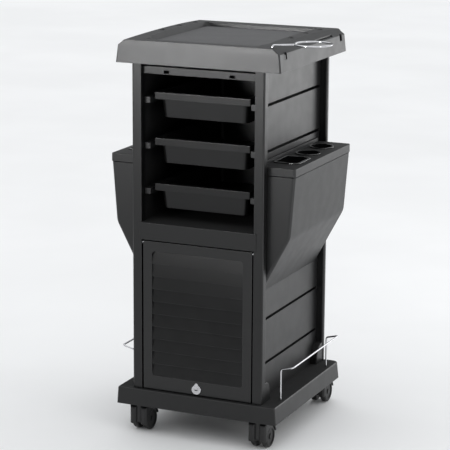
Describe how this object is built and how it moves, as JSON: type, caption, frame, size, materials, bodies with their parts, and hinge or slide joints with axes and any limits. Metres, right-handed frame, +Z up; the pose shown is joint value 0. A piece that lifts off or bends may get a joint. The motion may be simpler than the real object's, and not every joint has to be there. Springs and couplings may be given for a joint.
{
  "type": "spa trolley cart",
  "caption": "Wheeled salon storage trolley: open cabinet with sliding trays, louvred flap cupboard, side bins with cups, wire rails and a swing-out tool ring.",
  "frame": {"origin": "centre of the whole trolley's footprint box on the floor, under the wheels' contact points", "axes": "+Z up from the floor; -Y is the trolley's front (trays slide out that way); +X is the side with the ring holder"},
  "size_m": [0.5056, 0.4316, 0.9083],
  "materials": {
    "cabinet_plastic": "satin black moulded plastic with a fine eggshell texture",
    "panel_plastic": "satin black moulded plastic",
    "cap_plastic": "satin black moulded plastic",
    "door_plastic": "satin black moulded plastic",
    "bin_plastic": "satin black moulded plastic",
    "tray_plastic": "satin black moulded plastic",
    "mat_rubber": "dark grey pebbled mat",
    "cup_gloss": "high-gloss black",
    "chrome_wire": "bright chrome plating",
    "lock_chrome": "bright nickel plating",
    "zinc_steel": "zinc plated",
    "bush_plastic": "matt black",
    "caster_plastic": "matt black",
    "wheel_plastic": "matt black"
  },
  "bodies": {
    "cabinet": {"base_platform": "cabinet_plastic", "caster_sockets": "zinc_steel", "caster_stems": "zinc_steel", "frame_screws": "zinc_steel", "front_post_left": "cabinet_plastic", "front_post_right": "cabinet_plastic", "rear_post_left": "cabinet_plastic", "rear_post_right": "cabinet_plastic", "side_panel_left": "panel_plastic", "side_panel_right": "panel_plastic", "wire_rail_left": "chrome_wire", "wire_rail_right": "chrome_wire", "side_bin_left": "bin_plastic", "side_bin_right": "bin_plastic", "back_panel": "cabinet_plastic", "top_rail": "cabinet_plastic", "divider_shelf": "cabinet_plastic", "top_cap": "cap_plastic", "top_mat": "mat_rubber", "ring_bush": "bush_plastic", "lock_keeper": "zinc_steel"},
    "tray_top": {"tray_top": "tray_plastic"},
    "tray_middle": {"tray_middle": "tray_plastic"},
    "tray_bottom": {"tray_bottom": "tray_plastic"},
    "door": {"door_panel": "door_plastic", "door_pins": "zinc_steel", "lock_barrel": "lock_chrome", "lock_nut": "zinc_steel"},
    "lock": {"lock_plug": "lock_chrome", "lock_cam": "zinc_steel", "lock_screw": "zinc_steel"},
    "ring": {"ring_holder": "chrome_wire"},
    "lid_left": {"bin_lid_left": "bin_plastic", "square_cup_left": "cup_gloss", "round_cup_front_left": "cup_gloss", "round_cup_rear_left": "cup_gloss"},
    "lid_right": {"bin_lid_right": "bin_plastic", "square_cup_right": "cup_gloss", "round_cup_front_right": "cup_gloss", "round_cup_rear_right": "cup_gloss"},
    "caster_front_left": {"caster_hood_front_left": "caster_plastic", "caster_axle_front_left": "zinc_steel"},
    "wheel_a_front_left": {"wheel_a_front_left": "wheel_plastic"},
    "wheel_b_front_left": {"wheel_b_front_left": "wheel_plastic"},
    "caster_front_right": {"caster_hood_front_right": "caster_plastic", "caster_axle_front_right": "zinc_steel"},
    "wheel_a_front_right": {"wheel_a_front_right": "wheel_plastic"},
    "wheel_b_front_right": {"wheel_b_front_right": "wheel_plastic"},
    "caster_rear_left": {"caster_hood_rear_left": "caster_plastic", "caster_axle_rear_left": "zinc_steel"},
    "wheel_a_rear_left": {"wheel_a_rear_left": "wheel_plastic"},
    "wheel_b_rear_left": {"wheel_b_rear_left": "wheel_plastic"},
    "caster_rear_right": {"caster_hood_rear_right": "caster_plastic", "caster_axle_rear_right": "zinc_steel"},
    "wheel_a_rear_right": {"wheel_a_rear_right": "wheel_plastic"},
    "wheel_b_rear_right": {"wheel_b_rear_right": "wheel_plastic"}
  },
  "joints": [
    {"name": "tray_top_slide", "type": "slide", "parent": "cabinet", "child": "tray_top", "axis": [0, -1, 0], "range_m": [0, 0.24]},
    {"name": "tray_middle_slide", "type": "slide", "parent": "cabinet", "child": "tray_middle", "axis": [0, -1, 0], "range_m": [0, 0.24]},
    {"name": "tray_bottom_slide", "type": "slide", "parent": "cabinet", "child": "tray_bottom", "axis": [0, -1, 0], "range_m": [0, 0.24]},
    {"name": "door_hinge", "type": "hinge", "parent": "cabinet", "child": "door", "pos_m": [-0.03075, -0.20132, 0.448], "axis": [-1, 0, 0], "range_deg": [0, 90]},
    {"name": "lock_turn", "type": "hinge", "parent": "door", "child": "lock", "pos_m": [-0.03075, -0.19082, 0.1214], "axis": [0, 1, 0], "range_deg": [0, 90]},
    {"name": "ring_swivel", "type": "hinge", "parent": "cabinet", "child": "ring", "pos_m": [0.13775, -0.19182, 0.89], "axis": [0, 0, 1], "range_deg": [-120, 15]},
    {"name": "lid_left_lift", "type": "slide", "parent": "cabinet", "child": "lid_left", "axis": [0, 0, 1], "range_m": [0, 0.12]},
    {"name": "lid_right_lift", "type": "slide", "parent": "cabinet", "child": "lid_right", "axis": [0, 0, 1], "range_m": [0, 0.12]},
    {"name": "swivel_front_left", "type": "hinge", "parent": "cabinet", "child": "caster_front_left", "pos_m": [-0.17775, -0.19282, 0.06], "axis": [0, 0, 1], "continuous": true},
    {"name": "roll_a_front_left", "type": "hinge", "parent": "caster_front_left", "child": "wheel_a_front_left", "pos_m": [-0.17775, -0.17082, 0.025], "axis": [1, 0, 0], "continuous": true},
    {"name": "roll_b_front_left", "type": "hinge", "parent": "caster_front_left", "child": "wheel_b_front_left", "pos_m": [-0.17775, -0.17082, 0.025], "axis": [1, 0, 0], "continuous": true},
    {"name": "swivel_front_right", "type": "hinge", "parent": "cabinet", "child": "caster_front_right", "pos_m": [0.11625, -0.19282, 0.06], "axis": [0, 0, 1], "continuous": true},
    {"name": "roll_a_front_right", "type": "hinge", "parent": "caster_front_right", "child": "wheel_a_front_right", "pos_m": [0.11625, -0.17082, 0.025], "axis": [1, 0, 0], "continuous": true},
    {"name": "roll_b_front_right", "type": "hinge", "parent": "caster_front_right", "child": "wheel_b_front_right", "pos_m": [0.11625, -0.17082, 0.025], "axis": [1, 0, 0], "continuous": true},
    {"name": "swivel_rear_left", "type": "hinge", "parent": "cabinet", "child": "caster_rear_left", "pos_m": [-0.17775, 0.16618, 0.06], "axis": [0, 0, 1], "continuous": true},
    {"name": "roll_a_rear_left", "type": "hinge", "parent": "caster_rear_left", "child": "wheel_a_rear_left", "pos_m": [-0.17775, 0.18818, 0.025], "axis": [1, 0, 0], "continuous": true},
    {"name": "roll_b_rear_left", "type": "hinge", "parent": "caster_rear_left", "child": "wheel_b_rear_left", "pos_m": [-0.17775, 0.18818, 0.025], "axis": [1, 0, 0], "continuous": true},
    {"name": "swivel_rear_right", "type": "hinge", "parent": "cabinet", "child": "caster_rear_right", "pos_m": [0.11625, 0.16618, 0.06], "axis": [0, 0, 1], "continuous": true},
    {"name": "roll_a_rear_right", "type": "hinge", "parent": "caster_rear_right", "child": "wheel_a_rear_right", "pos_m": [0.11625, 0.18818, 0.025], "axis": [1, 0, 0], "continuous": true},
    {"name": "roll_b_rear_right", "type": "hinge", "parent": "caster_rear_right", "child": "wheel_b_rear_right", "pos_m": [0.11625, 0.18818, 0.025], "axis": [1, 0, 0], "continuous": true}
  ]
}
